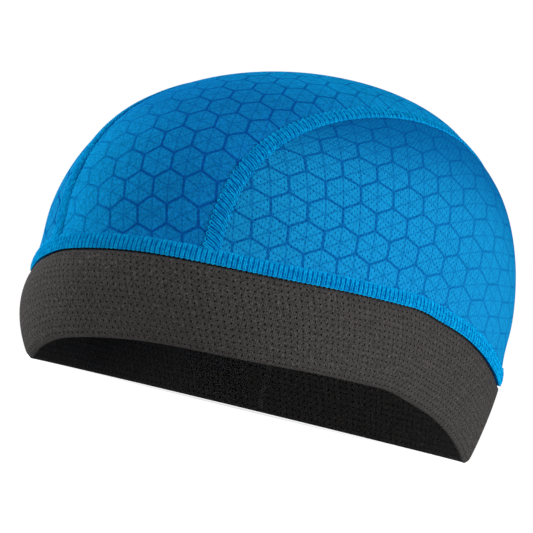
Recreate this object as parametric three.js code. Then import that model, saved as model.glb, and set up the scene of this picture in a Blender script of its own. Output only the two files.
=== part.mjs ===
// Skull cap: a jersey strip over the middle, two mesh panels at the sides, flat seams between them
// and a dark mesh band turned double at the rim. Millimetres, +Z up, +X to the wearer's left, the
// front of the head towards -Y. The rim stands on z = 0 and the bottom centre of the cap's box is
// the origin.
import * as THREE from 'three';

// Driving sizes of the whole cap
const CROWN_LENGTH = 204;       // front to back where the crown meets the band
const CROWN_WIDTH = 142;        // side to side at the same height
const CAP_HEIGHT = 121.3;
const BAND_HEIGHT = 29.5;
const PLAN_POWER = 2.25;        // 2 is a plain ellipse, more is a squarer outline seen from above
const DOME_POWER = 2.7;         // how full the dome's upright section is
const APEX_SHIFT = 20;          // how far the top of the dome lies behind the middle
const APEX_SHIFT_POWER = 3.2;

// The strip over the crown and the seams
// From the middle of the cap to the seam at the band, how much further at the top, the power of that
// curve, and how deep the seam draws the cloth in
const STRIP_EDGE = {
  left: { half: 30, widening: 9, power: 4, pinch: 1.3 },
  right: { half: 34, widening: 5, power: 1.5, pinch: 0.2 },
};
const SEAM_WIDTH = 4.8;
const BAND_SEAM_HEIGHT = 5.6;
const SEAM_PROUD = 0.55;
const SEAM_EDGE_PROUD = 0.15;
const SEAM_BEVEL = 1.3;         // from a seam's edge to its full thickness
const PINCH_REACH = 8;          // how far beside a seam the cloth is drawn in
const PINCH_START = 0.25;       // share of the dome's height over which the drawing in sets in
const WAIST_DEPTH = 0.8;        // the crown draws in a little above the band seam
const WAIST_HEIGHT = 11;
const WAIST_REACH = 8;

// Cloth and gaps
const CLOTH = 1.2;
const BAND_CLOTH = 2.4;
const FOLD_HEIGHT = 1.1;        // the rim's fold is bevelled below this height
const FOLD_OUTER = 0.6;
const FOLD_INNER = 0.4;
const GAP = 0.3;

// The band's outline against the crown's, at the front and at the back: the share by which its rim
// draws in, how that curve bends, and the share by which its middle stands out
const BAND_TAPER = {
  front: { narrowing: 0.075, power: 1.45, bulge: 0.041 },
  back: { narrowing: 0.05, power: 1, bulge: 0 },
};

// The arched rim falls in a little at this angle from the front: reach round the rim in degrees,
// rise up the band and depth
const HOLLOW = { angle: 12, reach: 20, rise: 11, depth: 4.5 };

// The upright join of the band's two ends
const JOIN_ANGLE = 220;
const JOIN_WIDTH = 3.2;

// The soft rim arches off the surface round the front left: angle from the front in degrees, lift
const RIM_LIFT = [
  { angle: -45, lift: 0 },
  { angle: -33, lift: 5.2 },
  { angle: -20, lift: 9.9 },
  { angle: 10, lift: 15.1 },
  { angle: 40, lift: 16.8 },
  { angle: 62, lift: 18.2 },
  { angle: 76, lift: 18.4 },
  { angle: 88, lift: 15.8 },
  { angle: 97, lift: 13.2 },
  { angle: 107, lift: 8.9 },
  { angle: 117, lift: 3.9 },
  { angle: 127, lift: 0 },
  { angle: 315, lift: 0 },
];

// The band's wall, from its fold to its top: height, how far the outer and inner faces lie in
const BAND_SECTION = [
  { height: 0, outer: FOLD_OUTER, inner: BAND_CLOTH - FOLD_INNER },
  { height: FOLD_HEIGHT, outer: 0, inner: BAND_CLOTH },
  { height: 8, outer: 0, inner: BAND_CLOTH },
  { height: 15.5, outer: 0, inner: BAND_CLOTH },
  { height: 22.5, outer: 0, inner: BAND_CLOTH },
  { height: BAND_HEIGHT, outer: 0, inner: BAND_CLOTH },
];

// How finely the faces are cut
const RING_STEPS = 80;
const STRIP_STEPS = 34;
const STRIP_COLUMNS = 8;
const SIDE_ROWS = 9;
const BASE_CROWDING = 1.35;     // above 1 the steps crowd towards the band, where the wall is steep
const STEEP_SIZE = 0.6;         // outside this level size the dome's slope is taken round the wall
const STEEPEST_SIZE = 0.9995;   // and no slope is taken nearer its very base than this
const SLOPE_TURN = 0.004;       // radians
const SLOPE_STEP = 0.2;
const SEAM_ROUNDS = 12;         // rounds in which a seam's place settles
const SEAM_STEP = 0.5;
const JOIN_STEP = 0.1;          // degrees

const HALF_LENGTH = CROWN_LENGTH / 2;
const HALF_WIDTH = CROWN_WIDTH / 2;
const DOME_HEIGHT = CAP_HEIGHT - BAND_HEIGHT;
const PANEL_BASE = (BAND_SEAM_HEIGHT + GAP) / DOME_HEIGHT;

const radians = THREE.MathUtils.degToRad;

// A smooth curve through the table's rows whose slopes never carry it past a row
function smoothTable(rows, at) {
  const slopes = rows.slice(1).map((row, i) => (row.lift - rows[i].lift) / (row.angle - rows[i].angle));
  const slopeAt = (i) => {
    const before = slopes[i - 1] ?? 0;
    const after = slopes[i] ?? 0;
    return before * after > 0 ? (2 * before * after) / (before + after) : 0;
  };
  const next = rows.findIndex((row) => row.angle >= at);
  const i = Math.max(next, 1) - 1;
  const span = rows[i + 1].angle - rows[i].angle;
  const u = (at - rows[i].angle) / span;
  const start = (1 + 2 * u) * (1 - u) ** 2 * rows[i].lift + u * (1 - u) ** 2 * span * slopeAt(i);
  const end = u * u * (3 - 2 * u) * rows[i + 1].lift + u * u * (u - 1) * span * slopeAt(i + 1);
  return start + end;
}

// The rim's lift at an angle in radians, measured from the front towards the wearer's left
function rimLift(angle) {
  const first = RIM_LIFT[0].angle;
  const last = RIM_LIFT[RIM_LIFT.length - 1].angle;
  const turned = THREE.MathUtils.euclideanModulo(THREE.MathUtils.radToDeg(angle) - first, 360) + first;
  return turned >= last ? 0 : smoothTable(RIM_LIFT, turned);
}

// The plan outline's radius factor at an angle, 1 on the axes and a little more between them
function planFactor(angle) {
  const sides = Math.abs(Math.sin(angle)) ** PLAN_POWER + Math.abs(Math.cos(angle)) ** PLAN_POWER;
  return sides ** (-1 / PLAN_POWER);
}

// 0 at the band and 1 at the top, from the size of the level section, and the other way round
const heightShare = (size) => Math.max(1 - size * size, 0) ** (1 / DOME_POWER);
const sectionSize = (share) => Math.sqrt(1 - share ** DOME_POWER);

// The distance from the cap's middle to a seam at a height share, where side is 1 on the left
function stripHalf(side, share) {
  const edge = side > 0 ? STRIP_EDGE.left : STRIP_EDGE.right;
  return edge.half + edge.widening * share ** edge.power;
}

// A plan place is x and y before the dome's backward shift. Its level section's size is 1 at the band.
function planPlace(x, y) {
  const sides = Math.abs(x / HALF_WIDTH) ** PLAN_POWER + Math.abs(y / HALF_LENGTH) ** PLAN_POWER;
  const size = Math.min(sides ** (1 / PLAN_POWER), 1);
  return { x, y, size, angle: Math.atan2(x / HALF_WIDTH, -y / HALF_LENGTH) };
}

function placeAt(angle, size) {
  const reach = size * planFactor(angle);
  return { x: HALF_WIDTH * reach * Math.sin(angle), y: -HALF_LENGTH * reach * Math.cos(angle), size, angle };
}

function domePoint(place) {
  const share = heightShare(place.size);
  return new THREE.Vector3(
    place.x,
    place.y + APEX_SHIFT * share ** APEX_SHIFT_POWER,
    BAND_HEIGHT + DOME_HEIGHT * share + rimLift(place.angle) * (1 - share),
  );
}

// The dome's outward normal: round the wall where it is steep, across the plan where it is flat
function domeNormal(place) {
  let ahead;
  let across;
  if (place.size > STEEP_SIZE) {
    const lean = Math.acos(Math.min(place.size, STEEPEST_SIZE));
    const around = (step) => domePoint(placeAt(place.angle + step, Math.cos(lean)));
    const upward = (step) => domePoint(placeAt(place.angle, Math.cos(lean + step)));
    ahead = around(SLOPE_TURN).sub(around(-SLOPE_TURN));
    across = upward(SLOPE_TURN).sub(upward(-SLOPE_TURN));
  } else {
    const moved = (x, y) => domePoint(planPlace(place.x + x, place.y + y));
    ahead = moved(SLOPE_STEP, 0).sub(moved(-SLOPE_STEP, 0));
    across = moved(0, SLOPE_STEP).sub(moved(0, -SLOPE_STEP));
  }
  return ahead.cross(across).normalize();
}

// A point on the crown, drawn in near the seams and above the band, then moved out by proud
function crownPoint(place, proud) {
  const share = heightShare(place.size);
  const fromSeam = (Math.abs(place.x) - stripHalf(place.x, share)) / PINCH_REACH;
  const fromWaist = (DOME_HEIGHT * share - WAIST_HEIGHT) / WAIST_REACH;
  const depth = (place.x > 0 ? STRIP_EDGE.left : STRIP_EDGE.right).pinch;
  const pinch = depth * Math.exp(-fromSeam * fromSeam) * Math.min(share / PINCH_START, 1);
  const waist = WAIST_DEPTH * Math.exp(-fromWaist * fromWaist);
  return domePoint(place).addScaledVector(domeNormal(place), proud - pinch - waist);
}

// A place on the crown at x, where turn goes from 0 at the front of the base to 1 at its back
function stripPlace(x, turn, baseSize) {
  const half = turn < 0.5 ? turn : 1 - turn;
  const bend = (Math.PI / 2) * (2 * half) ** BASE_CROWDING;
  const room = Math.max(baseSize ** PLAN_POWER - Math.abs(x / HALF_WIDTH) ** PLAN_POWER, 0);
  const reach = HALF_LENGTH * room ** (1 / PLAN_POWER) * Math.cos(bend);
  return planPlace(x, turn < 0.5 ? -reach : reach);
}

// The place beside a seam: side is 1 or -1, and off is the distance from the seam's middle line
function seamPlace(side, turn, off) {
  const baseSize = sectionSize(PANEL_BASE);
  let x = stripHalf(side, 0);
  for (let round = 0; round < SEAM_ROUNDS; round += 1) {
    x = stripHalf(side, heightShare(stripPlace(x, turn, baseSize).size));
  }
  const here = domePoint(stripPlace(x, turn, baseSize));
  const beside = domePoint(stripPlace(x + SEAM_STEP, turn, baseSize));
  return stripPlace(side * (x + (off * SEAM_STEP) / here.distanceTo(beside)), turn, baseSize);
}

// One closed wall from two grids of points, its outer and its inner face. The columns run round the
// cap and close on themselves if asked. Where points fall together the empty faces are left out.
function wall(outer, inner, closes = false) {
  const positions = [];
  const known = new Map();
  const faces = [];
  const number = (point) => {
    const key = [point.x, point.y, point.z].map((value) => Math.round(value * 1e4)).join();
    if (!known.has(key)) {
      known.set(key, positions.length / 3);
      positions.push(point.x, point.y, point.z);
    }
    return known.get(key);
  };
  const triangle = (a, b, c) => {
    if (a !== b && b !== c && c !== a) faces.push(a, b, c);
  };
  const quad = (a, b, c, d) => {
    const [i, j, k, l] = [a, b, c, d].map(number);
    triangle(i, j, k);
    triangle(i, k, l);
  };
  const columns = outer.length;
  const rows = outer[0].length;
  const spans = closes ? columns : columns - 1;
  for (let i = 0; i < spans; i += 1) {
    const n = (i + 1) % columns;
    for (let j = 0; j < rows - 1; j += 1) {
      quad(outer[i][j], outer[n][j], outer[n][j + 1], outer[i][j + 1]);
      quad(inner[i][j], inner[i][j + 1], inner[n][j + 1], inner[n][j]);
    }
    quad(outer[i][0], inner[i][0], inner[n][0], outer[n][0]);
    quad(outer[i][rows - 1], outer[n][rows - 1], inner[n][rows - 1], inner[i][rows - 1]);
  }
  if (!closes) {
    for (let j = 0; j < rows - 1; j += 1) {
      const last = columns - 1;
      quad(outer[0][j], outer[0][j + 1], inner[0][j + 1], inner[0][j]);
      quad(outer[last][j], inner[last][j], inner[last][j + 1], outer[last][j + 1]);
    }
  }
  const geometry = new THREE.BufferGeometry();
  geometry.setAttribute('position', new THREE.Float32BufferAttribute(positions, 3));
  geometry.setIndex(faces);
  geometry.computeVertexNormals();
  return geometry;
}

const steps = (count) => Array.from({ length: count + 1 }, (_, i) => i / count);

// The jersey strip, from the front of the band over the crown to its back
function centrePanel() {
  const rows = steps(STRIP_STEPS);
  const columns = steps(STRIP_COLUMNS);
  const face = (proud) => columns.map((column) => rows.map((turn) => {
    const [right, left] = [-1, 1].map((side) => seamPlace(side, turn, -SEAM_WIDTH / 2 - GAP).x);
    const place = stripPlace(right + (left - right) * column, turn, sectionSize(PANEL_BASE));
    return crownPoint(place, proud);
  }));
  return wall(face(0), face(-CLOTH));
}

// A side panel: its columns hang from the seam's line down to the band seam
function sidePanel(side) {
  const columns = steps(STRIP_STEPS);
  const rows = steps(SIDE_ROWS);
  const base = Math.acos(sectionSize(PANEL_BASE));
  const face = (proud) => columns.map((turn) => {
    const top = seamPlace(side, turn, SEAM_WIDTH / 2 + GAP);
    const lean = Math.acos(top.size);
    return rows.map((row) => {
      const share = row ** BASE_CROWDING;
      return crownPoint(placeAt(top.angle, Math.cos(base + (lean - base) * share)), proud);
    });
  });
  const ordered = (grid) => (side > 0 ? grid : grid.reverse());
  return wall(ordered(face(0)), ordered(face(-CLOTH)));
}

// A flat seam between the strip and a side panel, a little thicker along its middle
function sideSeam(side) {
  const half = SEAM_WIDTH / 2;
  const across = [-half, SEAM_BEVEL - half, half - SEAM_BEVEL, half];
  const rows = steps(STRIP_STEPS);
  const face = (edge, middle) => across.map((off) => rows.map((turn) => {
    const proud = Math.abs(off) < half ? middle : edge;
    return crownPoint(seamPlace(side, turn, off), proud);
  }));
  const ordered = (grid) => (side > 0 ? grid : grid.reverse());
  return wall(ordered(face(SEAM_EDGE_PROUD, SEAM_PROUD)), ordered(face(-CLOTH, -CLOTH)));
}

// The flat seam all round where the three panels meet the band
function bandSeam() {
  const top = BAND_SEAM_HEIGHT;
  const turns = steps(RING_STEPS).slice(0, -1);
  const heights = [GAP, GAP + SEAM_BEVEL, top - SEAM_BEVEL, top];
  const face = (edge, middle) => turns.map((turn) => heights.map((height) => {
    const place = placeAt(turn * 2 * Math.PI, sectionSize(height / DOME_HEIGHT));
    return crownPoint(place, height === GAP || height === top ? edge : middle);
  }));
  return wall(face(SEAM_EDGE_PROUD, SEAM_PROUD), face(-CLOTH, -CLOTH), true);
}

// A point of the band at an angle and height, moved in from its outer face
function bandPoint(angle, height, inward) {
  const up = height / BAND_HEIGHT;
  const front = (1 + Math.cos(angle)) / 2;
  const mixed = (key) => BAND_TAPER.back[key] + (BAND_TAPER.front[key] - BAND_TAPER.back[key]) * front;
  const drawnIn = mixed('narrowing') * (1 - up) ** mixed('power');
  const place = placeAt(angle, 1 - drawnIn + mixed('bulge') * 4 * up * (1 - up));
  const level = new THREE.Vector3(place.x / HALF_WIDTH ** 2, place.y / HALF_LENGTH ** 2, 0).normalize();
  const turned = angle - radians(HOLLOW.angle);
  const around = Math.atan2(Math.sin(turned), Math.cos(turned)) / radians(HOLLOW.reach);
  const fallen = HOLLOW.depth * Math.exp(-around * around - (height / HOLLOW.rise) ** 2);
  const outer = new THREE.Vector3(place.x, place.y, height + rimLift(angle));
  return outer.addScaledVector(level, -inward - fallen);
}

// A length of the band between two angles in degrees
function bandLength(from, to, count) {
  const face = (inward) => steps(count).map((turn) => BAND_SECTION.map((row) => {
    const angle = radians(from + (to - from) * turn);
    return bandPoint(angle, row.height, row[inward]);
  }));
  return wall(face('outer'), face('inner'));
}

// The angle that a length along the band takes up near the join
function angleOf(length) {
  const here = bandPoint(radians(JOIN_ANGLE), BAND_HEIGHT, 0);
  const beside = bandPoint(radians(JOIN_ANGLE + JOIN_STEP), BAND_HEIGHT, 0);
  return (length * JOIN_STEP) / here.distanceTo(beside);
}

// Cloth colours
const jersey = new THREE.MeshStandardMaterial({ color: 0x0a78bd, roughness: 0.75, metalness: 0 });
const mesh = new THREE.MeshStandardMaterial({ color: 0x1f8cd2, roughness: 0.8, metalness: 0 });
const thread = new THREE.MeshStandardMaterial({ color: 0x0c96da, roughness: 0.7, metalness: 0 });
const knit = new THREE.MeshStandardMaterial({ color: 0x3c3a3a, roughness: 0.85, metalness: 0 });

const cap = new THREE.Group();
const add = (name, geometry, material) => {
  const piece = new THREE.Mesh(geometry, material.clone());
  piece.name = name;
  cap.add(piece);
};

const joinHalf = angleOf(JOIN_WIDTH / 2);
const bandStart = JOIN_ANGLE + joinHalf + angleOf(GAP);
const bandEnd = JOIN_ANGLE - joinHalf - angleOf(GAP) + 360;
add('centre_panel', centrePanel(), jersey);
add('side_panel_left', sidePanel(1), mesh);
add('side_panel_right', sidePanel(-1), mesh);
add('seam_left', sideSeam(1), thread);
add('seam_right', sideSeam(-1), thread);
add('band_seam', bandSeam(), thread);
add('band', bandLength(bandStart, bandEnd, RING_STEPS), knit);
add('band_join', bandLength(JOIN_ANGLE - joinHalf, JOIN_ANGLE + joinHalf, 1), knit);

// The cap's box is centred over the origin
const middle = new THREE.Box3().setFromObject(cap).getCenter(new THREE.Vector3());
cap.position.set(-middle.x, -middle.y, 0);

export default cap;
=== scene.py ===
"""Looks of a close-fitting skull cap: printed jersey, printed mesh, flat seams and a double knit band.

Shapes are worked out in millimetres with the front of the head towards -y, and go into Blender in metres.
"""
import math

import bmesh
import bpy
import numpy as np
from mathutils import Matrix, Vector

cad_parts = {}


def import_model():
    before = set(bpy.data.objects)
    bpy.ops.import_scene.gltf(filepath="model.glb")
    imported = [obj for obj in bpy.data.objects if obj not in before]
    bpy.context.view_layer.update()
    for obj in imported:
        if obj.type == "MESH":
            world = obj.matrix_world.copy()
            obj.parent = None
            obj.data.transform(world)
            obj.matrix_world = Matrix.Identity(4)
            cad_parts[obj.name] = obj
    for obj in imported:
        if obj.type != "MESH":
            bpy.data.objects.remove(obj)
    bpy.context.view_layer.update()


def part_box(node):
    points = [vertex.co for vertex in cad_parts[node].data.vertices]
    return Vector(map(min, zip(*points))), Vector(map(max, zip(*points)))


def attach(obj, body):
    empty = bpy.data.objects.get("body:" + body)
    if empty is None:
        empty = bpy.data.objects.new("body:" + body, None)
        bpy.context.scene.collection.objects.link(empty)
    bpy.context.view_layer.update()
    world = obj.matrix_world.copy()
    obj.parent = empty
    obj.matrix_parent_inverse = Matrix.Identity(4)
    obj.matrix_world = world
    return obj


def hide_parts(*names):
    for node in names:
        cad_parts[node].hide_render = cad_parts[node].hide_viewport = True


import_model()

# Driving sizes, the same as the model's
CROWN_LENGTH = 204.0
CROWN_WIDTH = 142.0
CAP_HEIGHT = 121.3
BAND_HEIGHT = 29.5
PLAN_POWER = 2.25
DOME_POWER = 2.7
APEX_SHIFT = 20.0
APEX_SHIFT_POWER = 3.2
# The strip's edge on the wearer's left, 1, and right, -1: its distance from the middle at the base, how it
# widens to the top, and how much the cloth is drawn in beside the seam
STRIP_EDGE = {
    1: {"half": 30.0, "widening": 9.0, "power": 4.0, "pinch": 1.3},
    -1: {"half": 34.0, "widening": 5.0, "power": 1.5, "pinch": 0.2},
}
SEAM_WIDTH = 4.8
BAND_SEAM_HEIGHT = 5.6
# How far from a seam the cloth is drawn in, and from which share of the height in full
PINCH_REACH = 8.0
PINCH_START = 0.25
# A slight waist above the band's seam
WAIST_DEPTH = 0.8
WAIST_HEIGHT = 11.0
WAIST_REACH = 8.0
CLOTH = 1.0
BAND_CLOTH = 2.4
GAP = 0.3
# How much closer grid lines stand near the base
BASE_CROWDING = 1.35
# How the band narrows and bulges towards its rim, at the back and at the front
BAND_NARROWING = (0.05, 0.075)
BAND_POWER = (1.0, 1.45)
BAND_BULGE = (0.0, 0.041)
# The place where the rim falls in a little
HOLLOW_ANGLE = 12.0
HOLLOW_REACH = 20.0
HOLLOW_RISE = 11.0
HOLLOW_DEPTH = 4.5
# The upright join of the band's ends
JOIN_ANGLE = 220.0
JOIN_WIDTH = 3.2
# How far the rim is lifted off the floor, at angles round from the front to the wearer's left
RIM_LIFT_ANGLES = [-45, -33, -20, 10, 40, 62, 76, 88, 97, 107, 117, 127, 315]
RIM_LIFTS = [0, 5.2, 9.9, 15.1, 16.8, 18.2, 18.4, 15.8, 13.2, 8.9, 3.9, 0, 0]

HALF_LENGTH = CROWN_LENGTH / 2
HALF_WIDTH = CROWN_WIDTH / 2
DOME_HEIGHT = CAP_HEIGHT - BAND_HEIGHT

# The model's box is centred over the origin, and the crown's middle lies a little off it
seam_low, seam_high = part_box("band_seam")
SHIFT = 500 * np.array([seam_low[0] + seam_high[0], seam_low[1] + seam_high[1], 0.0])


# The cap's surfaces

def smooth_table(xs, ys, at):
    """A smooth curve through the rows whose slopes never carry it past a row."""
    xs = np.array(xs, float)
    ys = np.array(ys, float)
    span = np.diff(xs)
    rise = np.diff(ys) / span
    slope = np.zeros(len(xs))
    for i in range(1, len(xs) - 1):
        if rise[i - 1] * rise[i] > 0:
            slope[i] = 2 * rise[i - 1] * rise[i] / (rise[i - 1] + rise[i])
    i = np.clip(np.searchsorted(xs, at, side="left") - 1, 0, len(xs) - 2)
    u = (at - xs[i]) / span[i]
    start = (1 + 2 * u) * (1 - u) ** 2 * ys[i] + u * (1 - u) ** 2 * span[i] * slope[i]
    end = u * u * (3 - 2 * u) * ys[i + 1] + u * u * (u - 1) * span[i] * slope[i + 1]
    return start + end


def rim_lift(angle):
    first = RIM_LIFT_ANGLES[0]
    turned = np.mod(np.degrees(angle) - first, 360) + first
    return smooth_table(RIM_LIFT_ANGLES, RIM_LIFTS, turned)


def plan_factor(angle):
    sides = np.abs(np.sin(angle)) ** PLAN_POWER + np.abs(np.cos(angle)) ** PLAN_POWER
    return sides ** (-1 / PLAN_POWER)


def height_share(size):
    return np.maximum(1 - size * size, 0) ** (1 / DOME_POWER)


def section_size(height):
    """The size of the crown's level section at a height above the dome's foot."""
    return np.sqrt(1 - (height / DOME_HEIGHT) ** DOME_POWER)


def strip_half(side, share):
    """The distance from the cap's middle to a seam, where side is above 0 on the wearer's left."""
    left, right = (row["half"] + row["widening"] * share ** row["power"] for row in STRIP_EDGE.values())
    return np.where(np.asarray(side) > 0, left, right)


def plan_place(x, y):
    """A plan place is x, y, the size of its level section and its angle from the front."""
    sides = np.abs(x / HALF_WIDTH) ** PLAN_POWER + np.abs(y / HALF_LENGTH) ** PLAN_POWER
    return x, y, np.minimum(sides ** (1 / PLAN_POWER), 1), np.arctan2(x / HALF_WIDTH, -y / HALF_LENGTH)


def place_at(angle, size):
    reach = size * plan_factor(angle)
    return HALF_WIDTH * reach * np.sin(angle), -HALF_LENGTH * reach * np.cos(angle), size, angle


def dome_point(place):
    x, y, size, angle = np.broadcast_arrays(*place)
    share = height_share(size)
    back = y + APEX_SHIFT * share ** APEX_SHIFT_POWER
    return np.stack([x, back, BAND_HEIGHT + DOME_HEIGHT * share + rim_lift(angle) * (1 - share)], -1)


# Steps for slopes on the dome, in radians and millimetres, and the section sizes that they hold for
LEAN_STEP = 0.004
LEVEL_STEP = 0.2
LARGEST_SIZE = 0.9995
STEEP_SIZE = 0.6


def dip(at, centre, width):
    """A bell curve that is 1 at its centre."""
    return np.exp(-((at - centre) / width) ** 2)


def unit(vectors):
    return vectors / np.maximum(np.linalg.norm(vectors, axis=-1, keepdims=True), 1e-9)


def dome_step(place, other):
    return dome_point(place) - dome_point(other)


def dome_normal(place):
    """The outward direction, from steps round and up near the base, and from level steps near the top."""
    x, y, size, angle = np.broadcast_arrays(*place)
    lean = np.arccos(np.minimum(size, LARGEST_SIZE))
    size_here = np.cos(lean)
    ahead = dome_step(place_at(angle + LEAN_STEP, size_here), place_at(angle - LEAN_STEP, size_here))
    upward = dome_step(place_at(angle, np.cos(lean + LEAN_STEP)), place_at(angle, np.cos(lean - LEAN_STEP)))
    steep = unit(np.cross(ahead, upward))
    left = dome_step(plan_place(x + LEVEL_STEP, y), plan_place(x - LEVEL_STEP, y))
    back = dome_step(plan_place(x, y + LEVEL_STEP), plan_place(x, y - LEVEL_STEP))
    flat = unit(np.cross(left, back))
    return np.where((size > STEEP_SIZE)[..., None], steep, flat)


def crown_point(place, proud):
    x, _, size, _ = np.broadcast_arrays(*place)
    share = height_share(size)
    depth = np.where(x > 0, STRIP_EDGE[1]["pinch"], STRIP_EDGE[-1]["pinch"])
    pinch = depth * dip(np.abs(x), strip_half(x, share), PINCH_REACH) * np.minimum(share / PINCH_START, 1)
    waist = WAIST_DEPTH * dip(DOME_HEIGHT * share, WAIST_HEIGHT, WAIST_REACH)
    return dome_point(place) + dome_normal(place) * (proud - pinch - waist)[..., None]


# Rounds to find a seam's line, and the step that measures the cloth's spread beside it
SEAM_ROUNDS = 12
SPREAD_STEP = 0.5


def strip_place(x, turn, base_size):
    """A place on the crown at x, where turn goes from 0 at the front of the base to 1 at its back."""
    half = np.where(turn < 0.5, turn, 1 - turn)
    bend = (np.pi / 2) * (2 * half) ** BASE_CROWDING
    room = np.maximum(base_size ** PLAN_POWER - np.abs(x / HALF_WIDTH) ** PLAN_POWER, 0)
    reach = HALF_LENGTH * room ** (1 / PLAN_POWER) * np.cos(bend)
    return plan_place(x, np.where(turn < 0.5, -reach, reach))


def seam_place(side, turn, off, base_size):
    """The place beside a seam: side is 1 or -1, and off is the distance from the seam's middle line."""
    x = np.full(np.shape(turn), STRIP_EDGE[side]["half"])
    for _ in range(SEAM_ROUNDS):
        x = strip_half(side, height_share(strip_place(x, turn, base_size)[2]))
    here = dome_point(strip_place(x, turn, base_size))
    beside = dome_point(strip_place(x + SPREAD_STEP, turn, base_size))
    spread = np.linalg.norm(here - beside, axis=-1)
    return strip_place(side * (x + off * SPREAD_STEP / spread), turn, base_size)


def band_point(angle, height, inward):
    """A point of the band at a height above its rim and a distance inward from its outer face."""
    angle, height, inward = np.broadcast_arrays(angle, height, inward)
    up = height / BAND_HEIGHT
    low = np.clip(up, 0, 1)
    front = (1 + np.cos(angle)) / 2
    narrowing, power, bulge = (
        back + (ahead - back) * front for back, ahead in (BAND_NARROWING, BAND_POWER, BAND_BULGE)
    )
    x, y, _, _ = place_at(angle, 1 - narrowing * (1 - low) ** power + bulge * 4 * low * (1 - low))
    level = unit(np.stack([x / HALF_WIDTH ** 2, y / HALF_LENGTH ** 2, np.zeros_like(x)], -1))
    around = (np.mod(np.degrees(angle) - HOLLOW_ANGLE + 180, 360) - 180) / HOLLOW_REACH
    fallen = HOLLOW_DEPTH * np.exp(-around ** 2 - (height / HOLLOW_RISE) ** 2)
    return np.stack([x, y, height + rim_lift(angle)], -1) - level * (inward + fallen)[..., None]


def arc_along(points):
    """Length along a row of points, from 0 at the first."""
    return np.concatenate([[0], np.cumsum(np.linalg.norm(np.diff(points, axis=0), axis=1))])


# Meshes from grids of points

# Nearer points are made one, and thinner faces are taken out, in metres
WELD = 2e-6
SLIVER = 1e-6


def new_object(name, data):
    made = bpy.data.objects.new(name, data)
    bpy.context.collection.objects.link(made)
    return made


def make_piece(name, points, quads, maps, slots, materials):
    """One smooth object from millimetre points and four-sided faces, with a pair a point for each map."""
    data = bpy.data.meshes.new(name)
    data.from_pydata((points + SHIFT) / 1000, [], quads)
    data.polygons.foreach_set("material_index", slots)
    for key, values in maps.items():
        layer = data.uv_layers.new(name=key)
        layer.data.foreach_set("uv", values[quads.ravel()].ravel())
    for material in materials:
        data.materials.append(material)
    form = bmesh.new()
    form.from_mesh(data)
    bmesh.ops.remove_doubles(form, verts=form.verts, dist=WELD)
    bmesh.ops.dissolve_degenerate(form, edges=form.edges, dist=SLIVER)
    form.to_mesh(data)
    form.free()
    data.shade_smooth()
    piece = new_object(name, data)
    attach(piece, "root")
    return piece


def shell(outer, inner, closes=False):
    """A closed wall between two grids, columns by rows: points, faces, and 1 for each inner face."""
    columns, rows = outer.shape[:2]
    spans = columns if closes else columns - 1
    points = np.concatenate([outer.reshape(-1, 3), inner.reshape(-1, 3)])
    number = np.arange(columns * rows).reshape(columns, rows)
    a, b = number[:spans], np.roll(number, -1, axis=0)[:spans]
    far = columns * rows
    front = np.stack([a[:, :-1], b[:, :-1], b[:, 1:], a[:, 1:]], -1).reshape(-1, 4)
    back = far + np.stack([a[:, :-1], a[:, 1:], b[:, 1:], b[:, :-1]], -1).reshape(-1, 4)
    foot = np.stack([a[:, 0], far + a[:, 0], far + b[:, 0], b[:, 0]], -1)
    head = np.stack([a[:, -1], b[:, -1], far + b[:, -1], far + a[:, -1]], -1)
    faces = [front, back, foot, head]
    if not closes:
        first, last = number[0], number[-1]
        faces.append(np.stack([first[:-1], first[1:], far + first[1:], far + first[:-1]], -1))
        faces.append(np.stack([last[:-1], far + last[:-1], far + last[1:], last[1:]], -1))
    quads = np.concatenate(faces)
    part = np.arange(len(quads)) // len(front) == 1
    return points, quads, part.astype(int)


def tubes(paths, outward, half_width, half_height, sides=6):
    """Closed threads along many paths at once: paths and outward are threads by points by 3."""
    threads, rows = paths.shape[:2]
    half_width = np.broadcast_to(half_width, (threads, rows))
    half_height = np.broadcast_to(half_height, (threads, rows))
    tangent = unit(np.gradient(paths, axis=1))
    beside = unit(np.cross(tangent, outward))
    raised = np.cross(beside, tangent)
    turns = np.arange(sides) * 2 * np.pi / sides
    ring = (
        beside[:, :, None, :] * (half_width[..., None] * np.cos(turns))[..., None]
        + raised[:, :, None, :] * (half_height[..., None] * np.sin(turns))[..., None]
    )
    points = paths[:, :, None, :] + ring
    number = np.arange(threads * rows * sides).reshape(threads, rows, sides)
    following = np.roll(number, -1, axis=2)
    walls = np.stack([number[:, :-1], following[:, :-1], following[:, 1:], number[:, 1:]], -1)
    faces = [walls.reshape(-1, 4)]
    for k in range(sides // 2 - 1):
        faces.append(number[:, 0, [k + 1, k, sides - 1 - k, sides - 2 - k]])
        faces.append(number[:, -1, [k, k + 1, sides - 2 - k, sides - 1 - k]])
    length = np.broadcast_to(np.linspace(0, 1, rows)[:, None], number.shape)
    around = np.broadcast_to(np.arange(sides) / sides, number.shape)
    uv = np.stack([around, length], -1).reshape(-1, 2)
    return points.reshape(-1, 3), np.concatenate(faces), uv


def joined(parts):
    """Joins pieces of mesh, each given as points, faces and pairs of numbers, and numbers their faces."""
    points, quads, pairs = zip(*parts)
    starts = np.cumsum([0] + [len(some) for some in points[:-1]])
    faces = np.concatenate([some + start for some, start in zip(quads, starts)])
    part = np.repeat(np.arange(len(parts)), [len(some) for some in quads])
    return np.concatenate(points), faces, np.concatenate(pairs), part


# Materials

# The part of its range that a noise mostly keeps to
NOISE_PART = (0.3, 0.7)
# Where a hole's darkness begins and ends to fade, in its radii
HOLE_EDGE = (0.75, 1.25)
SHEEN_ROUGHNESS = 0.5
BLUE_SHEEN = (0.0, 0.45, 1.0, 1.0)
GREY_SHEEN = (0.6, 0.6, 0.6, 1.0)


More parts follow.
